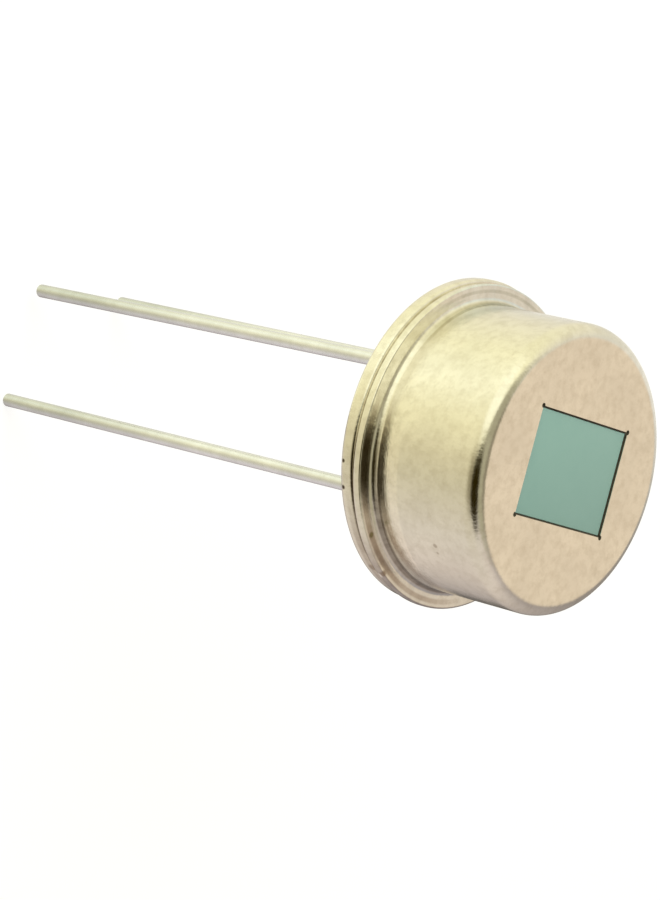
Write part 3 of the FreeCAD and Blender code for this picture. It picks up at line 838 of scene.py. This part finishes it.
# all other surfaces: both tints, lowest and highest roughness, and what differs from the usual surface
filterSpecial = {"specular": 0.25, "grainDepth": 0.0008, "grainScale": 22}
plainLooks = {
    "filter_coat": ((0.278, 0.486, 0.490), (0.292, 0.502, 0.505), 0.38, 0.46, filterSpecial),
    "filter_epoxy": ((0.034, 0.031, 0.022), (0.060, 0.055, 0.040), 0.35, 0.50, {"specular": 0.3}),
    "seal_glass": ((0.020, 0.030, 0.034), (0.035, 0.050, 0.055), 0.08, 0.16, {"grainDepth": 0.0006}),
    "braze_metal": ((0.58, 0.55, 0.47), (0.68, 0.65, 0.56), 0.30, 0.42, {"metallic": 1.0}),
    "board_ceramic": ((0.74, 0.73, 0.68), (0.80, 0.79, 0.74), 0.55, 0.70),
    "board_metal": ((0.70, 0.52, 0.26), (0.78, 0.60, 0.32), 0.25, 0.38, {"metallic": 1.0}),
    "solder": ((0.60, 0.60, 0.58), (0.70, 0.70, 0.68), 0.22, 0.36, {"metallic": 1.0}),
    "support_ceramic": ((0.80, 0.79, 0.75), (0.86, 0.85, 0.81), 0.50, 0.65),
    "element_ceramic": ((0.40, 0.32, 0.16), (0.48, 0.39, 0.20), 0.20, 0.30),
    "electrode_film": ((0.14, 0.13, 0.13), (0.20, 0.19, 0.18), 0.40, 0.55, {"metallic": 0.6}),
    "silver_adhesive": ((0.42, 0.42, 0.41), (0.52, 0.52, 0.50), 0.50, 0.65, {"metallic": 0.4}),
    "transistor_case": ((0.018, 0.018, 0.018), (0.032, 0.032, 0.031), 0.45, 0.60),
    "component_metal": ((0.62, 0.62, 0.60), (0.72, 0.72, 0.70), 0.25, 0.38, {"metallic": 1.0}),
    "resistor_ceramic": ((0.76, 0.75, 0.70), (0.83, 0.82, 0.77), 0.50, 0.65),
    "resistor_glaze": ((0.012, 0.012, 0.014), (0.022, 0.022, 0.026), 0.12, 0.20),
}
materials = {
    "can_nickel": platedMetal("can_nickel", canMetal),
    "header_nickel": platedMetal("header_nickel", headerMetal),
    "lead_plate": platedMetal("lead_plate", leadMetal),
}
for name, look in plainLooks.items():
    materials[name] = plainSurface(name, *look)

for piece, slotName in madePieces:
    piece.data.materials.clear()
    piece.data.materials.append(materials[slotName])

slotOf = {entry["node"]: entry["material_slot"] for entry in frame["record"]["subparts"]}
for node, thing in frame["nodes"].items():
    for holder in thing.material_slots:
        holder.material = materials[slotOf[node]]
print("materials set")

# stage: pale floor under the lead tips, a surrounding studio and one soft key light
stageLook = {
    "floorHeight": -16.002,
    "floorSize": 4000,
    "paperTint": (0.9, 0.9, 0.9),
    "paperRough": 0.9,
    "shadowTint": (0.25, 0.25, 0.25),
    "paperGlow": 0.85,
    "keyPower": 0.10,
    "keySize": 90,
    "keyPlace": (-60, 110, 120),
    "keyTint": (1.0, 0.98, 0.94),
}


def floorPaper():
    n, shader = newSurface("floorPaper")
    shader.inputs["Base Color"].default_value = (*stageLook["paperTint"], 1)
    shader.inputs["Roughness"].default_value = stageLook["paperRough"]
    shader.inputs["Specular IOR Level"].default_value = 0.0
    # to the camera the paper is white, with the soft shadow kept
    seen = n.add("ShaderNodeBsdfDiffuse")
    seen.inputs["Color"].default_value = (*stageLook["shadowTint"], 1)
    glow = n.add("ShaderNodeEmission")
    glow.inputs["Strength"].default_value = stageLook["paperGlow"]
    both = n.add("ShaderNodeAddShader")
    n.link(seen.outputs[0], both.inputs[0])
    n.link(glow.outputs[0], both.inputs[1])
    mixed = n.cameraMix(shader.outputs[0], both.outputs[0])
    n.link(mixed, n.tree.nodes["Material Output"].inputs["Surface"])
    return n.owner


def buildFloor():
    bm = bmesh.new()
    half = stageLook["floorSize"] / 2 * mm
    z = stageLook["floorHeight"] * mm
    bm.faces.new([bm.verts.new((x * half, y * half, z)) for x, y in ((-1, -1), (1, -1), (1, 1), (-1, 1))])
    meshData = bpy.data.meshes.new("floor")
    bm.to_mesh(meshData)
    bm.free()
    meshData.materials.append(floorPaper())
    floor = bpy.data.objects.new("floor", meshData)
    bpy.context.scene.collection.objects.link(floor)
    floor.visible_glossy = False


buildFloor()

# what the metal sees, by direction: colour round the horizon, then darker and lighter areas
studio = {
    "strength": 1.0,
    "brightest": 1.3,
    "ring": [
        (0.000, (0.70, 0.67, 0.61)),
        (0.018, (0.98, 0.95, 0.87)),
        (0.060, (0.84, 0.81, 0.70)),
        (0.120, (0.95, 0.90, 0.70)),
        (0.250, (1.10, 1.06, 0.70)),
        (0.345, (1.22, 1.20, 0.86)),
        (0.440, (1.06, 1.00, 0.64)),
        (0.520, (0.80, 0.73, 0.48)),
        (0.570, (0.72, 0.66, 0.46)),
        (0.700, (0.81, 0.74, 0.64)),
        (0.800, (0.75, 0.66, 0.59)),
        (0.900, (0.45, 0.395, 0.37)),
        (0.955, (0.32, 0.285, 0.26)),
        (0.978, (0.36, 0.33, 0.30)),
        (1.000, (0.70, 0.67, 0.61)),
    ],
    "overhead": (0.47, 0.44, 0.30),
    "overheadRange": (0.77, 0.91),
    # soft patches: azimuth, elevation, inner and outer angle, colour, strength
    "patches": [
        (135, 30, 18, 36, (1.28, 1.26, 0.93), 1.0),
        (346, -39, 8, 18, (0.15, 0.135, 0.12), 1.0),
        (356, 41, 14, 28, (0.87, 0.735, 0.565), 1.0),
        (351, 69, 7, 17, (0.30, 0.265, 0.18), 1.0),
        (200, 14, 8, 34, (0.13, 0.095, 0.035), 0.65),
        (209, 45, 17, 35, (0.022, 0.014, 0.0), 1.0),
    ],
}


def horizonColour(n, x, y):
    # the ramp holds at most 1, so the colours are stored smaller and scaled up again
    turn = n.number("DIVIDE", n.number("ARCTAN2", y, x), 2 * math.pi)
    share = n.number("FRACT", n.number("ADD", turn, 1.0))
    ramp = n.add("ShaderNodeValToRGB")
    elements = ramp.color_ramp.elements
    while len(elements) > 1:
        elements.remove(elements[-1])
    for i, (at, colour) in enumerate(studio["ring"]):
        element = elements[0] if i == 0 else elements.new(at)
        element.position = at
        element.color = (*[part / studio["brightest"] for part in colour], 1)
    n.link(share, ramp.inputs[0])
    scaled = n.add("ShaderNodeVectorMath", operation="SCALE")
    n.link(ramp.outputs[0], scaled.inputs[0])
    scaled.inputs["Scale"].default_value = studio["brightest"]
    return scaled.outputs[0]


def buildStudio():
    world = bpy.data.worlds.new("studio")
    bpy.context.scene.world = world
    n = Nodes(world)
    n.tree.nodes.clear()
    direction = n.add("ShaderNodeTexCoord").outputs["Generated"]
    parts = n.add("ShaderNodeSeparateXYZ")
    n.link(direction, parts.inputs[0])
    x, y, z = parts.outputs
    colour = n.blendColours(n.spread(z, *studio["overheadRange"]), horizonColour(n, x, y), studio["overhead"])
    for azimuth, elevation, inner, outer, tint, amount in studio["patches"]:
        a = math.radians(azimuth)
        e = math.radians(elevation)
        facing = n.add("ShaderNodeVectorMath", operation="DOT_PRODUCT")
        n.link(direction, facing.inputs[0])
        facing.inputs[1].default_value = (math.cos(a) * math.cos(e), math.sin(a) * math.cos(e), math.sin(e))
        away = n.number("ARCCOSINE", facing.outputs["Value"])
        soft = n.spread(away, math.radians(outer), math.radians(inner), 0, amount, "SMOOTHSTEP")
        colour = n.blendColours(soft, colour, tint)
    around = n.add("ShaderNodeBackground")
    n.link(colour, around.inputs["Color"])
    around.inputs["Strength"].default_value = studio["strength"]
    backdrop = n.add("ShaderNodeBackground")
    backdrop.inputs["Color"].default_value = (1, 1, 1, 1)
    output = n.add("ShaderNodeOutputWorld")
    n.link(n.cameraMix(around.outputs[0], backdrop.outputs[0]), output.inputs["Surface"])


buildStudio()


def buildKeyLight():
    # soft shadow only: the metal doesn't mirror the lamp
    place = Vector(stageLook["keyPlace"])
    lampData = bpy.data.lights.new("keyLight", "AREA")
    lampData.energy = stageLook["keyPower"]
    lampData.size = stageLook["keySize"] * mm
    lampData.color = stageLook["keyTint"]
    lamp = bpy.data.objects.new("keyLight", lampData)
    lamp.location = place * mm
    lamp.rotation_euler = (-place).normalized().to_track_quat("-Z", "Y").to_euler()
    bpy.context.scene.collection.objects.link(lamp)
    lamp.visible_camera = False
    lamp.visible_glossy = False


buildKeyLight()
print("stage set")

# camera at the photo's angle
cameraLook = {
    "right": (0.64832948, 0.2026367, 0.73389866),
    "down": (0.09327807, -0.97781013, 0.1875808),
    "ahead": (0.7556243, -0.05315752, -0.6528447),
    "place": (-70.07864, 3.81123, 56.29160),
    "focal": 128.58,
    "sensorWidth": 36,
    "clipStart": 0.005,
    "clipEnd": 10,
}


def buildCamera():
    c = cameraLook
    cameraData = bpy.data.cameras.new("photoCamera")
    cameraData.lens = c["focal"]
    cameraData.sensor_width = c["sensorWidth"]
    cameraData.clip_start = c["clipStart"]
    cameraData.clip_end = c["clipEnd"]
    camera = bpy.data.objects.new("photoCamera", cameraData)
    bpy.context.scene.collection.objects.link(camera)
    axes = (Vector(c["right"]), -Vector(c["down"]), -Vector(c["ahead"]))
    turned = Matrix(axes).transposed().to_4x4()
    camera.matrix_world = Matrix.Translation(Vector(c["place"]) * mm) @ turned
    return camera


bpy.context.scene.camera = buildCamera()
bpy.context.scene.view_settings.view_transform = "Standard"

print("camera set")
